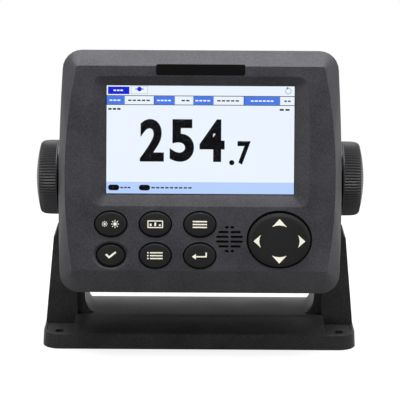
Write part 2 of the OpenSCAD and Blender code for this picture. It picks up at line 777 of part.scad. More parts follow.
// Cable inlets and earth screw at the back
module inlet(p) {
  difference() {
    union() {
      rod(p[0], p[1], inlet_bore_r, body_d - back_t, body_d + sheet);
      rod(p[0], p[1], inlet_flange_r, body_d, body_d + inlet_flange_t);
      rod(p[0], p[1], inlet_r, body_d, body_d + inlet_len);
    }
    rod(p[0], p[1], contacts_r + fixed_gap, body_d + inlet_flange_t, body_d + inlet_len + over);
  }
}
module contacts(p) {
  rod(p[0], p[1], contacts_r, body_d + inlet_flange_t, body_d + inlet_len - contacts_in);
}
module power_socket() color([0.1, 0.1, 0.1]) on_display() inlet(inlet_xz[0]);
module data_socket() color([0.1, 0.1, 0.1]) on_display() inlet(inlet_xz[1]);
module power_contacts() color([0.3, 0.3, 0.3]) on_display() contacts(inlet_xz[0]);
module data_contacts() color([0.3, 0.3, 0.3]) on_display() contacts(inlet_xz[1]);
module ground_terminal() color([0.8, 0.8, 0.8]) on_display() {
  rod(0, -ground_z, stud_r, body_d - back_t, body_d + stud_len);
  rod(0, -ground_z, nut_r, body_d, body_d + washer_t);
  translate([0, body_d + washer_t + nut_h, -ground_z]) rotate([90, 0, 0])
    cylinder(r = nut_r, h = nut_h, $fn = 6);
}

// Knobs and what lies on their axis, drawn for the right side
module pivot_insert() difference() {
  axle(insert_r, rear_w / 2 - insert_len, rear_w / 2);
  axle(bolt_r + run_gap, rear_w / 2 - insert_len - over, rear_w / 2 + over);
}
module knob_bolt() axle(bolt_r, rear_w / 2 - bolt_in, knob_x + bolt_grip);
module ring(outer_r, from, to) difference() {
  axle(outer_r, from, to);
  axle(bolt_r + run_gap, from - over, to + over);
}
// Outline of a knob from its inner side to its tip: rim, core behind the ribs, round edge, domed face
function knob_profile() = let (
  r = knob_d / 2,
  rim = 2 * rib_depth,
  face_z = knob_t - knob_face_r,
  edge_z = face_z + sqrt(pow(knob_face_r - knob_edge_r, 2) - pow(r - knob_edge_r, 2)),
  turn = acos((r - knob_edge_r) / (knob_face_r - knob_edge_r)),
  edge = arc(r - knob_edge_r, edge_z, knob_edge_r, 0, turn, 6),
  dome = arc(0, face_z, knob_face_r, turn, 90, 6)
) concat(
  [[0, 0], [r - rim / 2, 0], [r, rim / 2], [r, rim]],
  [[r - rim, rim], [r - rim, edge_z - rim], [r, edge_z - rim]],
  edge, [for (i = [1:6]) dome[i]]
);
module knob() {
  r = knob_d / 2;
  profile = knob_profile();
  rib_top = profile[6][1];
  difference() {
    translate([knob_x, pivot_d, 0]) rotate([0, 90, 0]) {
      rotate_extrude($fn = 96) polygon(profile);
      translate([0, 0, rib_depth]) linear_extrude(rib_top) polygon([
        for (i = [0:2 * rib_count - 1]) let (q = r - rib_depth / 5 - (i % 2) * rib_depth)
          [q * cos(180 * i / rib_count), q * sin(180 * i / rib_count)]
      ]);
    }
    axle(bolt_r + fixed_gap, knob_x - over, knob_x + bolt_grip);
  }
}
module pivot_insert_right() color([0.75, 0.6, 0.3]) on_display() pivot_insert();
module pivot_insert_left() color([0.75, 0.6, 0.3]) on_display() mirror([1, 0, 0]) pivot_insert();
module knob_right() color([0.19, 0.19, 0.2]) on_display() knob();
module knob_left() color([0.19, 0.19, 0.2]) on_display() mirror([1, 0, 0]) knob();
module knob_bolt_right() color([0.7, 0.7, 0.7]) on_display() knob_bolt();
module knob_bolt_left() color([0.7, 0.7, 0.7]) on_display() mirror([1, 0, 0]) knob_bolt();
module knob_washer_right() color([0.75, 0.75, 0.75]) on_display() ring(washer_r, head_x + run_gap, knob_x);
module knob_washer_left() color([0.75, 0.75, 0.75]) on_display()
  mirror([1, 0, 0]) ring(washer_r, head_x + run_gap, knob_x);
module friction_washer_right() color([0.08, 0.08, 0.08]) on_display()
  ring(friction_r, rear_w / 2, rear_w / 2 + friction_t);
module friction_washer_left() color([0.08, 0.08, 0.08]) on_display()
  mirror([1, 0, 0]) ring(friction_r, rear_w / 2, rear_w / 2 + friction_t);

bracket();
front_case();
rear_case();
case_gasket();
display_window();
window_gasket();
lcd_panel();
lcd_backlight();
lcd_frame();
lcd_ribbon();
badge_plate();
brightness_key();
screen_key();
menu_key();
alarm_key();
list_key();
enter_key();
cursor_pad();
cursor_rocker();
keypad_mat();
keypad_board();
buzzer();
buzzer_mesh();
main_board();
board_screws();
case_screws();
pivot_insert_left();
pivot_insert_right();
knob_left();
knob_right();
knob_bolt_left();
knob_bolt_right();
knob_washer_left();
knob_washer_right();
friction_washer_left();
friction_washer_right();
power_socket();
power_contacts();
data_socket();
data_contacts();
ground_terminal();
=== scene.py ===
# Display unit of a satellite compass on its tilting bracket: finishes, printed signs and the lit screen.
import json
import math

import bmesh
import bpy
from mathutils import Matrix, Vector

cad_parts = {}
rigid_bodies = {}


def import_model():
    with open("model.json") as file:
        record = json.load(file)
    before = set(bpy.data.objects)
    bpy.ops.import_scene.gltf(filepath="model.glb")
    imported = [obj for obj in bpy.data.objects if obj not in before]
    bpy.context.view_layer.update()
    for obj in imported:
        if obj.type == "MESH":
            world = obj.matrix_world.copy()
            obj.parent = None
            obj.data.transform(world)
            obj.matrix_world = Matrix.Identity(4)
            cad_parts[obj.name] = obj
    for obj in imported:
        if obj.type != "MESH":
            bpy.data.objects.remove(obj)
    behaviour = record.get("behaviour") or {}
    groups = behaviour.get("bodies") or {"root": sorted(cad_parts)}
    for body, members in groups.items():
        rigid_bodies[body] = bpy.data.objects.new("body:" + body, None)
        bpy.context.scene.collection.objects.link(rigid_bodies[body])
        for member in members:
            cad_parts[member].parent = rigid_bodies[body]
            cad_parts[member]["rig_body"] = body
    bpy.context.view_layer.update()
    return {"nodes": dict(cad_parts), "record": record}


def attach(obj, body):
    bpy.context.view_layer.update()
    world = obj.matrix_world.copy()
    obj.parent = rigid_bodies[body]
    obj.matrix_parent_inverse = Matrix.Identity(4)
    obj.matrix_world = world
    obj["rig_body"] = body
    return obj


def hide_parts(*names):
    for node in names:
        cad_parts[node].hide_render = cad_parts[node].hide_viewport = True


print("loading the frame")
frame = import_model()
nodes = frame["nodes"]
slotOf = {part["node"]: part["material_slot"] for part in frame["record"]["subparts"]}
mm = 0.001

print("camera")
camera = {"place": (0.0, -0.91333, 0.30641), "pitch": 75.579, "roll": 0.34, "lens": 161.26, "sensor": 36.0}
cameraData = bpy.data.cameras.new("camera")
cameraData.lens = camera["lens"]
cameraData.sensor_width = camera["sensor"]
cameraObject = bpy.data.objects.new("camera", cameraData)
bpy.context.collection.objects.link(cameraObject)
cameraObject.matrix_world = (
    Matrix.Translation(camera["place"])
    @ Matrix.Rotation(math.radians(camera["pitch"]), 4, "X")
    @ Matrix.Rotation(math.radians(camera["roll"]), 4, "Z")
)
bpy.context.scene.camera = cameraObject

# The display's own space in millimetres: x to the right, y the depth behind its face, z the height
# over the knobs' axis. All sizes below are in it unless a note says otherwise.
display = {"tilt": 12.5, "axisY": 4.0, "axisZ": 82.7, "axisDepth": 44.0}
toDisplay = (
    Matrix.Diagonal((mm, mm, mm, 1))
    @ Matrix.Translation((0, display["axisY"], display["axisZ"]))
    @ Matrix.Rotation(math.radians(-display["tilt"]), 4, "X")
    @ Matrix.Translation((0, -display["axisDepth"], 0))
)
standUp = Matrix.Rotation(math.radians(90), 4, "X")  # turns a flat drawing to face the viewer
joinWithin = 0.001  # points closer than this are one
noiseSpan = (0.3, 0.7)  # where nearly all of a noise's values lie


def newFinish(name):
    finish = bpy.data.materials.new(name)
    finish.use_nodes = True
    tree = finish.node_tree
    return finish, tree, tree.nodes["Principled BSDF"]


def addNoise(tree, size, detail=2.0, roughness=0.5):
    coordinates = tree.nodes.new("ShaderNodeTexCoord")
    noise = tree.nodes.new("ShaderNodeTexNoise")
    noise.inputs["Scale"].default_value = 1 / (size * mm)
    noise.inputs["Detail"].default_value = detail
    noise.inputs["Roughness"].default_value = roughness
    tree.links.new(coordinates.outputs["Object"], noise.inputs["Vector"])
    return noise.outputs["Fac"]


def addRange(tree, value, low, high, span=noiseSpan):
    mapRange = tree.nodes.new("ShaderNodeMapRange")
    mapRange.inputs["From Min"].default_value = span[0]
    mapRange.inputs["From Max"].default_value = span[1]
    mapRange.inputs["To Min"].default_value = low
    mapRange.inputs["To Max"].default_value = high
    tree.links.new(value, mapRange.inputs["Value"])
    return mapRange.outputs["Result"]


def addMath(tree, operation, *values):
    step = tree.nodes.new("ShaderNodeMath")
    step.operation = operation
    for socket, value in zip(step.inputs, values):
        if isinstance(value, (int, float)):
            socket.default_value = value
        else:
            tree.links.new(value, socket)
    return step.outputs[0]


def addMix(tree, value, first, second):
    mix = tree.nodes.new("ShaderNodeMix")
    mix.data_type = "RGBA"
    mix.inputs["A"].default_value = list(first) + [1]
    mix.inputs["B"].default_value = list(second) + [1]
    tree.links.new(value, mix.inputs["Factor"])
    return mix.outputs["Result"]


def addTone(tree, value, color, spread):
    dark = [c * (1 - spread) for c in color]
    light = [min(1, c * (1 + spread)) for c in color]
    return addMix(tree, value, dark, light)


def addBump(tree, value, depth, strength):
    bump = tree.nodes.new("ShaderNodeBump")
    bump.inputs["Strength"].default_value = strength
    bump.inputs["Distance"].default_value = depth * mm
    tree.links.new(value, bump.inputs["Height"])
    return bump.outputs["Normal"]


# What a surface has unless its own look says otherwise. Patch, grain and depth are in millimetres.
plainSurface = {
    "patch": 18.0, "grain": 0.45, "grainShare": 0.6, "spread": 0.25, "depth": 0.05, "strength": 0.3,
    "roughnessSpread": 0.04, "metallic": 0.0, "specular": 0.5,
}


# A moulded or machined surface: slow change of tone, fine grain in tone and relief.
def surfaceFinish(name, ownLook):
    look = {**plainSurface, **ownLook}
    finish, tree, shader = newFinish(name)
    patches = addNoise(tree, look["patch"], detail=3.0)
    grain = addNoise(tree, look["grain"], roughness=0.6)
    share = look["grainShare"]
    mixed = addMath(tree, "MULTIPLY_ADD", grain, share, addMath(tree, "MULTIPLY", patches, 1 - share))
    tone = addTone(tree, addRange(tree, mixed, 0, 1), look["color"], look["spread"])
    tree.links.new(tone, shader.inputs["Base Color"])
    smoothest = look["roughness"] - look["roughnessSpread"]
    roughest = look["roughness"] + look["roughnessSpread"]
    tree.links.new(addRange(tree, patches, smoothest, roughest), shader.inputs["Roughness"])
    tree.links.new(addBump(tree, grain, look["depth"], look["strength"]), shader.inputs["Normal"])
    shader.inputs["Metallic"].default_value = look["metallic"]
    shader.inputs["Specular IOR Level"].default_value = look["specular"]
    return finish


plainLight = {"base": 0.002, "roughness": 0.4, "specular": 0.02, "patch": 30.0, "spread": 0.01, "power": 1.0}


# Something lit from behind, with a faint unevenness of the light.
def lightFinish(name, ownLook):
    look = {**plainLight, **ownLook}
    finish, tree, shader = newFinish(name)
    tone = addTone(tree, addNoise(tree, look["patch"]), look["color"], look["spread"])
    shader.inputs["Base Color"].default_value = [look["base"]] * 3 + [1]
    shader.inputs["Roughness"].default_value = look["roughness"]
    shader.inputs["Specular IOR Level"].default_value = look["specular"]
    tree.links.new(tone, shader.inputs["Emission Color"])
    shader.inputs["Emission Strength"].default_value = look["power"]
    return finish


def glassFinish(name, look):
    finish, tree, shader = newFinish(name)
    smoothest = look["roughness"]
    roughest = look["roughness"] + look["roughnessSpread"]
    roughness = addRange(tree, addNoise(tree, look["patch"]), smoothest, roughest)
    shader.inputs["Base Color"].default_value = look["color"] + (1,)
    tree.links.new(roughness, shader.inputs["Roughness"])
    shader.inputs["IOR"].default_value = look["ior"]
    shader.inputs["Transmission Weight"].default_value = 1.0
    shader.inputs["Specular IOR Level"].default_value = look["specular"]
    return finish


print("materials")
sparkGrain = {"grain": 0.8, "spread": 0.55, "depth": 0.07, "strength": 0.7}  # of the moulded case and bracket
bareMetal = {"metallic": 1.0, "spread": 0.08}
windowGlass = {
    "color": (0.97, 0.985, 1.0), "roughness": 0.02, "roughnessSpread": 0.02, "patch": 12.0, "ior": 1.05,
    "specular": 0.3,
}
slotLooks = {
    "bracket_plastic": {"color": (0.029, 0.029, 0.030), "roughness": 0.42, "specular": 0.06, **sparkGrain},
    "case_plastic": {"color": (0.0385, 0.0372, 0.0432), "roughness": 0.42, "specular": 0.13, **sparkGrain},
    "black_rubber": {"color": (0.012, 0.012, 0.012), "roughness": 0.75, "specular": 0.1, "grain": 0.25},
    "white_plastic": {"color": (0.78, 0.78, 0.76), "roughness": 0.6, "spread": 0.04},
    "lcd_metal": {"color": (0.62, 0.62, 0.62), "roughness": 0.38, "strength": 0.1, **bareMetal},
    "amber_film": {"color": (0.45, 0.19, 0.035), "roughness": 0.3, "spread": 0.12},
    "badge_black": {
        "color": (0.003, 0.003, 0.003), "roughness": 0.2, "specular": 0.05, "spread": 0.1, "strength": 0.03,
    },
    "key_rubber": {
        "color": (0.011, 0.011, 0.0115), "roughness": 0.5, "specular": 0.1, "grain": 0.3, "spread": 0.25,
    },
    "black_plastic": {"color": (0.014, 0.014, 0.014), "roughness": 0.5, "specular": 0.15, "spread": 0.2},
    "circuit_board": {
        "color": (0.012, 0.10, 0.045), "roughness": 0.35, "patch": 6.0, "spread": 0.3, "strength": 0.1,
    },
    "black_cloth": {"color": (0.010, 0.010, 0.010), "roughness": 0.9, "grain": 0.3, "strength": 0.8},
    "steel": {"color": (0.60, 0.60, 0.59), "roughness": 0.3, "strength": 0.08, **bareMetal},
    "brass": {
        "color": (0.72, 0.50, 0.20), "roughness": 0.32, "metallic": 1.0, "spread": 0.1, "strength": 0.1,
    },
    "knob_plastic": {
        "color": (0.029, 0.029, 0.031), "roughness": 0.4, "specular": 0.22, "spread": 0.25, "strength": 0.35,
    },
}
blackenedLook = {
    "color": (0.03, 0.03, 0.032), "roughness": 0.5, "metallic": 1.0, "spread": 0.15, "strength": 0.1,
}
finishes = {slot: surfaceFinish(slot, look) for slot, look in slotLooks.items()}
finishes["window_glass"] = glassFinish("window_glass", windowGlass)
finishes["lcd"] = lightFinish("lcd", {"color": (0.86, 0.92, 1.0), "spread": 0.012})
blackenedSteel = surfaceFinish("blackened_steel", blackenedLook)

for name, node in nodes.items():
    node.data.materials.clear()
    node.data.materials.append(blackenedSteel if name.startswith("knob_washer") else finishes[slotOf[name]])


def addPiece(name, mesh, finish, body, stands=()):
    piece = bpy.data.objects.new(name, mesh)
    bpy.context.collection.objects.link(piece)
    piece.data.materials.clear()
    piece.data.materials.append(finish)
    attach(piece, body)
    if stands:
        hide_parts(*stands)
    return piece


def meshFrom(shape, name, place=None, smoothAngle=None):
    if place is not None:
        bmesh.ops.transform(shape, matrix=place, verts=shape.verts)
    mesh = bpy.data.meshes.new(name)
    shape.to_mesh(mesh)
    shape.free()
    if smoothAngle:
        mesh.shade_smooth()
        mesh.set_sharp_from_angle(angle=math.radians(smoothAngle))
    return mesh


print("mouldings with rounded edges")
# Edges that turn more than sharp degrees are rounded by round millimetres.
softLooks = {
    "front_case": {"sharp": 19, "round": 0.5},
    "rear_case": {"sharp": 24, "round": 0.5},
    "bracket": {"sharp": 24, "round": 0.45},
    "badge_plate": {"sharp": 30, "round": 0.2},
}
softening = {"merge": 0.002, "flat": 0.5, "segments": 2}


# The moulding of a node with its edges rounded, in place of the node itself.
def soften(nodeName, look):
    shape = bmesh.new()
    shape.from_mesh(nodes[nodeName].data)
    bmesh.ops.remove_doubles(shape, verts=shape.verts, dist=softening["merge"] * mm)
    bmesh.ops.dissolve_limit(
        shape, angle_limit=math.radians(softening["flat"]), verts=shape.verts, edges=shape.edges,
        use_dissolve_boundaries=False
    )
    name = nodeName + "_moulding"
    slot = slotOf[nodeName]
    mesh = meshFrom(shape, name, smoothAngle=look["sharp"])
    piece = addPiece(name, mesh, finishes[slot], nodes[nodeName]["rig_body"], [nodeName])
    rounding = piece.modifiers.new("rounding", "BEVEL")
    rounding.width = look["round"] * mm
    rounding.segments = softening["segments"]
    rounding.limit_method = "ANGLE"
    rounding.angle_limit = math.radians(look["sharp"])
    rounding.harden_normals = True


for nodeName, look in softLooks.items():
    soften(nodeName, look)


# The outline through these points turned once round the axis.
def spinOutline(shape, points, axis, steps, closed=False):
    verts = [shape.verts.new(point) for point in points]
    ends = verts[1:] + verts[:1] if closed else verts[1:]
    edges = [shape.edges.new(pair) for pair in zip(verts, ends)]
    bmesh.ops.spin(
        shape, geom=verts + edges, cent=(0, 0, 0), axis=axis, dvec=(0, 0, 0),
        angle=2 * math.pi, steps=steps, use_merge=True, use_duplicate=False
    )
    bmesh.ops.remove_doubles(shape, verts=shape.verts, dist=joinWithin)


print("ribbed knobs")
# The outline of the right knob from its bore to the middle of its domed face, as (radius, distance
# from the display's middle). The ribs stand between ribsFrom and ribsTo.
knob = {
    "ribs": 80, "ribDepth": 0.62, "ribsFrom": 74.72, "ribsTo": 83.2,
    "domeRadius": 68.5, "domeEdge": 17.6, "reach": 85.8, "smooth": 30,
    "back": [
        (0.0, 81.46), (4.05, 81.46), (4.05, 74.46), (18.5, 74.46),
        (18.7, 73.95), (19.3, 73.9), (19.6, 74.15), (19.6, 74.7),
    ],
    "band": [(19.55, 74.74), (19.5, 79.0), (19.25, 81.2), (18.85, 82.4), (18.35, 83.1)],
    "edge": [(18.0, 83.35)],
    "domeShares": (1.0, 0.8, 0.6, 0.4, 0.2, 0.0),
}


def knobOutline():
    dome = []
    for share in knob["domeShares"]:
        radius = knob["domeEdge"] * share
        dome.append((radius, knob["reach"] - radius ** 2 / (2 * knob["domeRadius"])))
    return knob["back"] + knob["band"] + knob["edge"] + dome


# Every second line of points round the band is sunk, which leaves the ribs standing between them.
def cutRibs(shape):
    step = math.pi / knob["ribs"]
    for vert in shape.verts:
        angle = math.atan2(vert.co.z, vert.co.y)
        if knob["ribsFrom"] < vert.co.x < knob["ribsTo"] and round(angle / step) % 2:
            share = 1 - knob["ribDepth"] / math.hypot(vert.co.y, vert.co.z)
            vert.co.y *= share
            vert.co.z *= share


def addKnob(node, mirrored):
    shape = bmesh.new()
    points = [(out, radius, 0) for radius, out in knobOutline()]
    spinOutline(shape, points, (1, 0, 0), 2 * knob["ribs"])
    cutRibs(shape)
    if mirrored:
        bmesh.ops.scale(shape, vec=(-1, 1, 1), verts=shape.verts)
    bmesh.ops.recalc_face_normals(shape, faces=shape.faces)
    name = node + "_ribbed"
    place = toDisplay @ Matrix.Translation((0, display["axisDepth"], 0))
    mesh = meshFrom(shape, name, place, knob["smooth"])
    addPiece(name, mesh, finishes["knob_plastic"], nodes[node]["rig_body"], [node])


addKnob("knob_right", False)
addKnob("knob_left", True)

print("keys and cursor pad")
cap = {"sides": 72, "smooth": 50}


# A closed stack of ovals, each (half width, half height, depth), from its back to its front.
def stackOvals(shape, ovals):
    rings = []
    for halfWidth, halfHeight, depth in ovals:
        place = Matrix.Translation((0, depth, 0)) @ standUp @ Matrix.Diagonal((halfWidth, halfHeight, 1, 1))
        isEnd = len(rings) in (0, len(ovals) - 1)
        made = bmesh.ops.create_circle(shape, cap_ends=isEnd, segments=cap["sides"], radius=1, matrix=place)
        rings.append(list({edge for vert in made["verts"] for edge in vert.link_edges}))
    for lower, upper in zip(rings, rings[1:]):
        bmesh.ops.bridge_loops(shape, edges=lower + upper)
    bmesh.ops.recalc_face_normals(shape, faces=shape.faces)


def addCap(node, x, z, ovals):
    shape = bmesh.new()
    stackOvals(shape, ovals)
    name = node + "_cap"
    mesh = meshFrom(shape, name, toDisplay @ Matrix.Translation((x, 0, z)), cap["smooth"])
    addPiece(name, mesh, finishes[slotOf[node]], nodes[node]["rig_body"], [node])


# A key's cap has a lip behind the panel, a rounded rim and a flat dome of height crown on its top.
keyLook = {"half": (7.88, 6.08), "lip": (9.2, 7.5), "top": -1.3, "rim": 1.0}
alarmLook = {"half": (6.92, 5.35), "lip": (8.3, 6.79), "top": -0.1, "rim": 0.9}
capShape = {"lipBack": 4.3, "lipFront": 3.3, "crown": 0.25, "rimSteps": 6, "crownShares": (0.75, 0.5, 0.25)}


def keyOvals(look):
    halfWidth, halfHeight = look["half"]
    rim = look["rim"]
    rimBack = look["top"] + capShape["crown"] + rim
    ovals = [look["lip"] + (capShape["lipBack"],), look["lip"] + (capShape["lipFront"],)]
    ovals.append((halfWidth, halfHeight, capShape["lipFront"]))
    for step in range(capShape["rimSteps"] + 1):
        turn = math.radians(90 * step / capShape["rimSteps"])
        inset = rim * (1 - math.cos(turn))
        ovals.append((halfWidth - inset, halfHeight - inset, rimBack - rim * math.sin(turn)))
    for share in capShape["crownShares"]:
        depth = look["top"] + capShape["crown"] * share ** 2
        ovals.append(((halfWidth - rim) * share, (halfHeight - rim) * share, depth))
    return ovals


keyColumns = (-44.8, -22.4, 0.0)
keyRows = (-22.6, -38.4)
keys = {
    "brightness_key": {"column": 0, "row": 0, "look": keyLook},
    "screen_key": {"column": 1, "row": 0, "look": keyLook},
    "menu_key": {"column": 2, "row": 0, "look": keyLook},
    "alarm_key": {"column": 0, "row": 1, "look": alarmLook},
    "list_key": {"column": 1, "row": 1, "look": keyLook},
    "enter_key": {"column": 2, "row": 1, "look": keyLook},
}
for node, key in keys.items():
    addCap(node, keyColumns[key["column"]], keyRows[key["row"]], keyOvals(key["look"]))

# The cursor pad: its lip behind the panel, its side, the slope round its top, the flat top.
pad = {
    "x": 40.0, "z": -30.25, "top": -1.8, "topHalf": (13.5, 11.4),
    "ovals": [
        (17.1, 15.2, 5.05), (17.1, 15.2, 4.05), (15.6, 13.5, 4.05), (15.6, 13.5, -0.75), (15.5, 13.4, -0.95),
        (15.3, 13.2, -1.08), (14.2, 12.1, -1.62), (13.9, 11.8, -1.75),
    ],
}
addCap("cursor_pad", pad["x"], pad["z"], pad["ovals"] + [pad["topHalf"] + (pad["top"],)])


# A flat face from its (x, y) corners.
def addOutline(shape, corners):
    return shape.faces.new([shape.verts.new((x, y, 0)) for x, y in corners])


def addBar(shape, x0, y0, x1, y1):
    return addOutline(shape, [(x0, y0), (x1, y0), (x1, y1), (x0, y1)])


def addDisc(shape, x, y, radius, inner=0.0, segments=40):
    place = Matrix.Translation((x, y, 0))
    if inner:
        outer = bmesh.ops.create_circle(shape, segments=segments, radius=radius, matrix=place)
        hole = bmesh.ops.create_circle(shape, segments=segments, radius=inner, matrix=place)
        rings = {edge for vert in outer["verts"] + hole["verts"] for edge in vert.link_edges}
        bmesh.ops.bridge_loops(shape, edges=list(rings))
    else:
        bmesh.ops.create_circle(shape, cap_ends=True, segments=segments, radius=radius, matrix=place)


# Four bars round a rectangle given by its middle and half sizes.
def drawFrame(shape, x, y, halfWidth, halfHeight, line):
    left, right = x - halfWidth, x + halfWidth
    bottom, top = y - halfHeight, y + halfHeight
    addBar(shape, left, top - line, right, top)
    addBar(shape, left, bottom, right, bottom + line)
    addBar(shape, left, bottom + line, left + line, top - line)
    addBar(shape, right - line, bottom + line, right, top - line)


# Gives the flat drawing its thickness, toward the viewer once it stands up.
def thicken(shape, thickness):
    bmesh.ops.recalc_face_normals(shape, faces=shape.faces)
    for face in shape.faces:
        if face.normal.z < 0:
            face.normal_flip()
    made = bmesh.ops.extrude_face_region(shape, geom=shape.faces[:])
    moved = [part for part in made["geom"] if isinstance(part, bmesh.types.BMVert)]
    bmesh.ops.translate(shape, vec=(0, 0, thickness), verts=moved)
    bmesh.ops.recalc_face_normals(shape, faces=shape.faces)


# A sign lies flat at (x, z) of the display with its back at this depth and its front to the viewer.
def addSign(name, shape, x, depth, z, thickness, finish, body):
    thicken(shape, thickness)
    place = toDisplay @ Matrix.Translation((x, depth, z)) @ standUp
    addPiece(name, meshFrom(shape, name, place), finish, body)


print("signs on the keys")
creamLook = {"color": (0.9, 0.86, 0.73), "roughness": 0.6, "spread": 0.04, "strength": 0.1}
creamPrint = surfaceFinish("cream_print", creamLook)
sign = {"thickness": 0.12, "sink": 0.05, "rows": (-1.45, 0.0, 1.45)}
suns = {"rays": 8, "gap": 0.35, "half": 0.2, "small": (-3.0, 0.55, 1.4), "large": (2.2, 0.85, 2.0)}
pane = {
    "half": (3.9, 1.9), "line": 0.5, "foot": -0.9, "barHalf": 0.45,
    "bars": ((-2.3, 0.3), (0, 0.9), (2.3, -0.1)),
}
menuBar = {"half": 3.6, "thick": 0.32}
listRow = {"dot": -3.6, "dotRadius": 0.4, "dotSides": 16, "from": -2.6, "to": 3.8, "thick": 0.3}
checkMark = [(-2.7, 0.2), (-2.0, 0.85), (-0.8, -0.45), (2.3, 1.9), (2.9, 1.25), (-0.8, -1.65)]
returnArrow = [
    (-3.9, -0.4), (-1.9, 1.0), (-1.9, -0.1), (2.9, -0.1), (2.9, 1.7),
    (3.6, 1.7), (3.6, -0.75), (-1.9, -0.75), (-1.9, -1.8),
]


def drawSuns(shape):
    for x, core, reach in (suns["small"], suns["large"]):
        addDisc(shape, x, 0, core)
        for step in range(suns["rays"]):
            ray = addBar(shape, x + core + suns["gap"], -suns["half"], x + reach, suns["half"])
            turn = Matrix.Rotation(2 * math.pi * step / suns["rays"], 3, "Z")
            bmesh.ops.rotate(shape, cent=(x, 0, 0), matrix=turn, verts=ray.verts)


def drawPane(shape):
    drawFrame(shape, 0, 0, *pane["half"], pane["line"])
    for x, top in pane["bars"]:
        addBar(shape, x - pane["barHalf"], pane["foot"], x + pane["barHalf"], top)


def drawMenu(shape):
    for y in sign["rows"]:
        addBar(shape, -menuBar["half"], y - menuBar["thick"], menuBar["half"], y + menuBar["thick"])


def drawCheck(shape):
    addOutline(shape, checkMark)


def drawList(shape):
    for y in sign["rows"]:
        addDisc(shape, listRow["dot"], y, listRow["dotRadius"], segments=listRow["dotSides"])
        addBar(shape, listRow["from"], y - listRow["thick"], listRow["to"], y + listRow["thick"])


def drawReturn(shape):
    addOutline(shape, returnArrow)


keySigns = {
    "brightness_key": drawSuns,
    "screen_key": drawPane,
    "menu_key": drawMenu,
    "alarm_key": drawCheck,
    "list_key": drawList,
    "enter_key": drawReturn,
}
for node, draw in keySigns.items():
    key = keys[node]
    shape = bmesh.new()
    draw(shape)
    x, z = keyColumns[key["column"]], keyRows[key["row"]]
    depth = key["look"]["top"] + sign["sink"]
    addSign(node + "_sign", shape, x, depth, z, sign["thickness"], creamPrint, node)

print("arrowheads on the cursor pad")
# Reach, length and half width of the level arrowheads and then of the upright ones.
arrows = {
    "drop": 0.55, "reach": (13.0, 11.2), "length": (3.65, 4.0), "half": (3.2, 3.7), "hollow": 0.8,
    "baseShares": (1, 0.5, 0, -0.5, -1),
}


def drawArrow(shape, angle, reach, length, half):
    base = reach - length
    curve = [(base + arrows["hollow"] * (1 - share ** 2), half * share) for share in arrows["baseShares"]]
    face = addOutline(shape, [(reach, 0)] + curve)
    turn = Matrix.Rotation(math.radians(angle), 3, "Z")
    bmesh.ops.rotate(shape, cent=(0, 0, 0), matrix=turn, verts=face.verts)


shape = bmesh.new()
for step in range(4):
    upright = step % 2
    drawArrow(shape, 90 * step, arrows["reach"][upright], arrows["length"][upright], arrows["half"][upright])
addSign(
    "cursor_arrows", shape, pad["x"], pad["top"] + sign["sink"], pad["z"] - arrows["drop"],
    sign["thickness"], creamPrint, "cursor_pad"
)

print("screen picture")
# The picture's x and y run from its middle, which lies at height z and depth y of the display.
screen = {"z": 19.86, "y": 6.58, "thickness": 0.05, "layer": 0.06}
screenColors = {
    "ink": (0.003, 0.003, 0.004),
    "deepBlue": (0.006, 0.02, 0.62),
    "midBlue": (0.07, 0.20, 0.80),
    "barBlue": (0.49, 0.65, 0.98),
    "paper": (0.97, 0.98, 1.0),
    "grey": (0.45, 0.52, 0.60),
}
screenFinishes = {}
for name, color in screenColors.items():
    screenFinishes[name] = lightFinish("screen_" + name, {"color": color})


# A drawing in one colour on the screen. Each layer lies a little nearer the viewer.
def addPatch(name, color, shape, layer=0):
    depth = screen["y"] - layer * screen["layer"]
    addSign(name, shape, 0, depth, screen["z"], screen["thickness"], screenFinishes[color], "display")


def addBars(name, color, bars, layer=0):
    shape = bmesh.new()
    for bar in bars:
        addBar(shape, *bar)
    addPatch(name, color, shape, layer)


edge = {"half": (47.9, 27.7), "line": 0.45}
shape = bmesh.new()
drawFrame(shape, 0, 0, *edge["half"], edge["line"])
addPatch("screen_edge", "ink", shape, 2)

# The bar at the bottom, the chip at the top, and the row of cells between two rules.
bands = {
    "half": 47.8, "bottom": (-47.8, -27.6, 47.8, -21.4), "chip": (-46.8, 22.9, -36.0, 26.7),
    "rules": (22.15, 17.6), "ruleHalf": 0.17, "ticks": (-23.5, 21.9), "tickHalf": 0.15,
    "cells": ((-47.7, -38.3), (-23.4, -13.0), (-3.7, 6.6), (22.0, 40.2)), "cellGap": 0.2,
}
ruleTop, ruleBottom = bands["rules"]
cellTop, cellBottom = ruleTop - bands["cellGap"], ruleBottom + bands["cellGap"]
rules = [
    (-bands["half"], y - bands["ruleHalf"], bands["half"], y + bands["ruleHalf"])
    for y in bands["rules"]
]
ticks = [(x - bands["tickHalf"], ruleBottom, x + bands["tickHalf"], ruleTop) for x in bands["ticks"]]
addBars("screen_bottom_bar", "barBlue", [bands["bottom"]])
addBars("screen_top_chip", "deepBlue", [bands["chip"]])
addBars("screen_cells", "midBlue", [(x0, cellBottom, x1, cellTop) for x0, x1 in bands["cells"]])
addBars("screen_rules", "ink", rules + ticks, 1)

# Short level dashes in place of words: each run goes from x0 to x1 with this many dashes.
dash = {"share": 0.72, "height": 0.7}
inkRows = [
    {"y": 19.8, "runs": ((-36.6, -25.0, 5), (-9.6, -5.0, 2), (8.4, 20.0, 5), (42.3, 46.0, 2))},
    {"y": 15.4, "runs": ((-46.6, -39.8, 3), (40.0, 45.8, 2)), "height": 0.9},
    {"y": -24.3, "runs": ((-40.3, -34.8, 3), (-24.6, -3.6, 9))},
]
paperRows = [
    {"y": 19.8, "runs": ((-46, -40, 3), (-22, -14.5, 4), (-2.6, 5.4, 4), (25.4, 37.4, 6))},
    {"y": 24.8, "runs": ((-44.0, -38.8, 3),)},
]


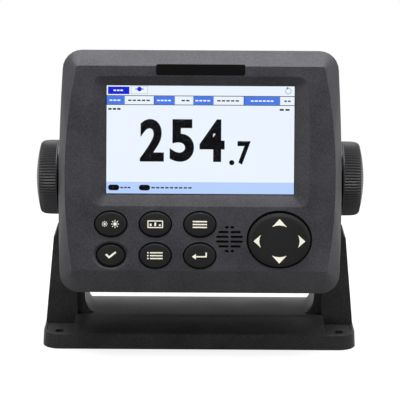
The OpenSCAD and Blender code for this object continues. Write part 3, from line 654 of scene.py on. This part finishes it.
def dashBars(rows):
    made = []
    for row in rows:
        half = row.get("height", dash["height"]) / 2
        for x0, x1, count in row["runs"]:
            pitch = (x1 - x0) / count
            lefts = [x0 + pitch * step for step in range(count)]
            made += [(x, row["y"] - half, x + pitch * dash["share"], row["y"] + half) for x in lefts]
    return made


addBars("screen_dashes", "ink", dashBars(inkRows), 1)
addBars("screen_cell_dashes", "paper", dashBars(paperRows), 1)

# The boxed sign beside the chip, the ring at the right and the two dark pills in the bottom bar.
icon = {
    "box": (-30.9, 25.05, 4.3, 2.05, 0.22),
    "disc": (-30.9, 25.5, 1.15),
    "bar": (-33.0, 25.25, -28.8, 25.75),
}
ring = {"place": (44.3, 24.9), "outer": 1.65, "inner": 1.25, "dot": (43.95, 26.3, 0.5)}
pill = {"spans": ((-46.6, -40.9), (-31.0, -25.3)), "y": -24.3, "radius": 1.45, "steps": 10}


def drawPill(shape, x0, x1):
    radius = pill["radius"]
    left, right = x0 + radius, x1 - radius
    y = pill["y"]
    addBar(shape, left, y - radius, right, y + radius)
    turns = [math.pi * (0.5 + step / pill["steps"]) for step in range(pill["steps"] + 1)]
    for x, side in ((left, radius), (right, -radius)):
        addOutline(shape, [(x + side * math.cos(turn), y + radius * math.sin(turn)) for turn in turns])


shape = bmesh.new()
drawFrame(shape, *icon["box"])
addDisc(shape, *ring["place"], ring["outer"], ring["inner"])
addPatch("screen_icon_box", "grey", shape, 1)
shape = bmesh.new()
addDisc(shape, *icon["disc"])
addBar(shape, *icon["bar"])
addPatch("screen_icon", "deepBlue", shape, 1)
shape = bmesh.new()
addDisc(shape, *ring["dot"])
for x0, x1 in pill["spans"]:
    drawPill(shape, x0, x1)
addPatch("screen_pills", "ink", shape, 1)

# The big number and its tenths: each digit fills the box from left to right and bottom to top.
number = {"bold": 0.036, "point": (15.95, -11.4, 1.3)}
digits = {
    "screen_hundreds": {"digit": "2", "across": (-30.6, -18.4), "up": (-11.1, 10.4)},
    "screen_tens": {"digit": "5", "across": (-15.5, -3.2), "up": (-11.1, 10.4)},
    "screen_ones": {"digit": "4", "across": (-0.4, 12.3), "up": (-11.1, 10.4)},
    "screen_tenths": {"digit": "7", "across": (18.8, 25.5), "up": (-12.4, -0.5)},
}


# A plain digit in Blender's own letters, made a mesh and fitted to its box before it is placed.
def addDigit(name, look):
    curve = bpy.data.curves.new(name, "FONT")
    curve.body = look["digit"]
    curve.offset = number["bold"]
    temporary = bpy.data.objects.new(name, curve)
    bpy.context.collection.objects.link(temporary)
    bpy.context.view_layer.update()
    flat = bpy.data.meshes.new_from_object(temporary)
    bpy.data.objects.remove(temporary)
    shape = bmesh.new()
    shape.from_mesh(flat)
    xs = [vert.co.x for vert in shape.verts]
    ys = [vert.co.y for vert in shape.verts]
    left, right = look["across"]
    bottom, top = look["up"]
    fit = ((right - left) / (max(xs) - min(xs)), (top - bottom) / (max(ys) - min(ys)), 1)
    bmesh.ops.translate(shape, vec=(-min(xs), -min(ys), 0), verts=shape.verts)
    bmesh.ops.scale(shape, vec=fit, verts=shape.verts)
    bmesh.ops.remove_doubles(shape, verts=shape.verts, dist=joinWithin)
    bmesh.ops.translate(shape, vec=(left, bottom, 0), verts=shape.verts)
    addPatch(name, "ink", shape, 1)


for name, look in digits.items():
    addDigit(name, look)
shape = bmesh.new()
addDisc(shape, *number["point"])
addPatch("screen_point", "ink", shape, 1)

print("threads and pins on the back")


# The middle of a node, in the display's own space.
def middleOf(nodeName):
    inside = toDisplay.inverted()
    points = [inside @ vert.co for vert in nodes[nodeName].data.vertices]
    return [(min(p[i] for p in points) + max(p[i] for p in points)) / 2 for i in range(3)]


inletThread = {"radius": 7.98, "inside": 7.7, "height": 0.45, "pitch": 1.0, "from": 69.2, "to": 76.6}
studThread = {"radius": 1.98, "inside": 1.7, "height": 0.22, "pitch": 0.7, "from": 70.3, "to": 73.8}
thread = {"columns": 48, "rowsPerTurn": 4, "smooth": 25}


# The points of a sleeve's outer side are raised along a helix, less so in its first and last turn.
def raiseHelix(shape, look, turns):
    pitch = (look["to"] - look["from"]) / turns
    for vert in shape.verts:
        radius = math.hypot(vert.co.x, vert.co.z)
        if radius > (look["radius"] + look["inside"]) / 2:
            climbed = (vert.co.y - look["from"]) / pitch
            turn = (climbed + math.atan2(vert.co.z, vert.co.x) / (2 * math.pi)) % 1.0
            height = look["height"] * min(1.0, climbed, turns - climbed) * (1 - abs(2 * turn - 1))
            vert.co.x *= 1 + height / radius
            vert.co.z *= 1 + height / radius


# A screw thread round a post, as a closed sleeve.
def addThread(name, node, look, finish):
    x, _, z = middleOf(node)
    length = look["to"] - look["from"]
    rows = round(length / look["pitch"] * thread["rowsPerTurn"])
    outer = [(look["radius"], look["from"] + length * row / rows, 0) for row in range(rows + 1)]
    inner = [(look["inside"], look["to"], 0), (look["inside"], look["from"], 0)]
    shape = bmesh.new()
    spinOutline(shape, outer + inner, (0, 1, 0), thread["columns"], closed=True)
    raiseHelix(shape, look, rows / thread["rowsPerTurn"])
    bmesh.ops.recalc_face_normals(shape, faces=shape.faces)
    mesh = meshFrom(shape, name, toDisplay @ Matrix.Translation((x, 0, z)), thread["smooth"])
    addPiece(name, mesh, finish, "display")


addThread("power_socket_thread", "power_socket", inletThread, finishes["black_plastic"])
addThread("data_socket_thread", "data_socket", inletThread, finishes["black_plastic"])
addThread("ground_stud_thread", "ground_terminal", studThread, finishes["steel"])

pins = {"face": 75.8, "ring": 3.2, "reach": 1.6, "tipReach": 1.9, "tipShare": 0.6, "sides": 16, "smooth": 40}


def ringPlaces(angles):
    turns = [math.radians(angle) for angle in angles]
    return [(pins["ring"] * math.cos(turn), pins["ring"] * math.sin(turn)) for turn in turns]


# Contact pins with a thinner tip in an inlet, each place (x, z) from its middle.
def addPins(name, node, places, radius):
    x, _, z = middleOf(node)
    shape = bmesh.new()
    for dx, dz in places:
        for size, reach in ((radius, pins["reach"]), (radius * pins["tipShare"], pins["tipReach"])):
            place = Matrix.Translation((dx, pins["face"] + reach / 2, dz)) @ standUp
            bmesh.ops.create_cone(
                shape, cap_ends=True, segments=pins["sides"], radius1=size, radius2=size, depth=reach,
                matrix=place
            )
    mesh = meshFrom(shape, name, toDisplay @ Matrix.Translation((x, 0, z)), pins["smooth"])
    addPiece(name, mesh, finishes["brass"], "display")


inlets = {
    "power_inlet_pins": {"node": "power_contacts", "places": ringPlaces((90, 210, 330)), "radius": 0.8},
    "data_inlet_pins": {
        "node": "data_contacts", "places": [(0, 0)] + ringPlaces(range(0, 360, 60)), "radius": 0.5,
    },
}
for name, inlet in inlets.items():
    addPins(name, inlet["node"], inlet["places"], inlet["radius"])

print("floor and light")
# The floor is white to the lens, and keeps its shadow: the share of plain white grows over litTo, in
# metres from the object.
stage = {
    "floorSize": 2.4, "floorColor": 0.26, "seenColor": 0.95, "roughness": 0.8, "shadowShare": 0.24,
    "skyPower": 0.085, "litTo": (0.16, 0.5),
}


# 1 to the lens, in reflections and through glass, where floor and sky are white.
def whiteSeen(tree):
    rays = tree.nodes.new("ShaderNodeLightPath").outputs
    seen = addMath(tree, "MAXIMUM", rays["Is Camera Ray"], rays["Is Glossy Ray"])
    return addMath(tree, "MAXIMUM", seen, rays["Is Transmission Ray"])


def floorFinish():
    finish, tree, shader = newFinish("floor")
    shader.inputs["Roughness"].default_value = stage["roughness"]
    seen = whiteSeen(tree)
    tone = addMix(tree, seen, [stage["floorColor"]] * 3, [stage["seenColor"]] * 3)
    tree.links.new(tone, shader.inputs["Base Color"])
    white = tree.nodes.new("ShaderNodeEmission")
    white.inputs["Strength"].default_value = 1.0
    coordinates = tree.nodes.new("ShaderNodeTexCoord")
    distance = tree.nodes.new("ShaderNodeVectorMath")
    distance.operation = "LENGTH"
    tree.links.new(coordinates.outputs["Object"], distance.inputs[0])
    whiteShare = addRange(tree, distance.outputs["Value"], 1 - stage["shadowShare"], 1.0, stage["litTo"])
    mix = tree.nodes.new("ShaderNodeMixShader")
    tree.links.new(addMath(tree, "MULTIPLY", seen, whiteShare), mix.inputs["Fac"])
    tree.links.new(shader.outputs[0], mix.inputs[1])
    tree.links.new(white.outputs[0], mix.inputs[2])
    tree.links.new(mix.outputs[0], tree.nodes["Material Output"].inputs["Surface"])
    return finish


shape = bmesh.new()
bmesh.ops.create_grid(shape, x_segments=1, y_segments=1, size=stage["floorSize"] / 2)
floor = bpy.data.objects.new("floor", meshFrom(shape, "floor"))
bpy.context.collection.objects.link(floor)
floor.data.materials.append(floorFinish())

world = bpy.data.worlds.new("studio")
bpy.context.scene.world = world
world.use_nodes = True
sky = world.node_tree.nodes["Background"]
sky.inputs["Color"].default_value = (1, 1, 1, 1)
skyPower = addRange(world.node_tree, whiteSeen(world.node_tree), stage["skyPower"], 1.0, (0, 1))
world.node_tree.links.new(skyPower, sky.inputs["Strength"])

lamps = {
    "top_box": {"place": (0.0, 0.15, 0.8), "aim": (0, 0, 0.1), "size": (1.2, 0.7), "power": 12.3},
    "front_box": {"place": (0.0, -0.28, 1.05), "aim": (0, 0, 0.08), "size": (0.8, 0.4), "power": 10.2},
    "left_box": {"place": (-0.75, -0.65, 0.3), "aim": (0, 0, 0.08), "size": (0.4, 0.6), "power": 2.3},
    "right_box": {"place": (0.75, -0.2, 0.35), "aim": (0, 0, 0.08), "size": (0.4, 0.6), "power": 2.3},
}
for name, lamp in lamps.items():
    lightData = bpy.data.lights.new(name, "AREA")
    lightData.shape = "RECTANGLE"
    lightData.size, lightData.size_y = lamp["size"]
    lightData.energy = lamp["power"]
    light = bpy.data.objects.new(name, lightData)
    light.location = lamp["place"]
    light.rotation_euler = (Vector(lamp["aim"]) - Vector(lamp["place"])).to_track_quat("-Z", "Y").to_euler()
    bpy.context.collection.objects.link(light)

bpy.context.scene.view_settings.view_transform = "Standard"
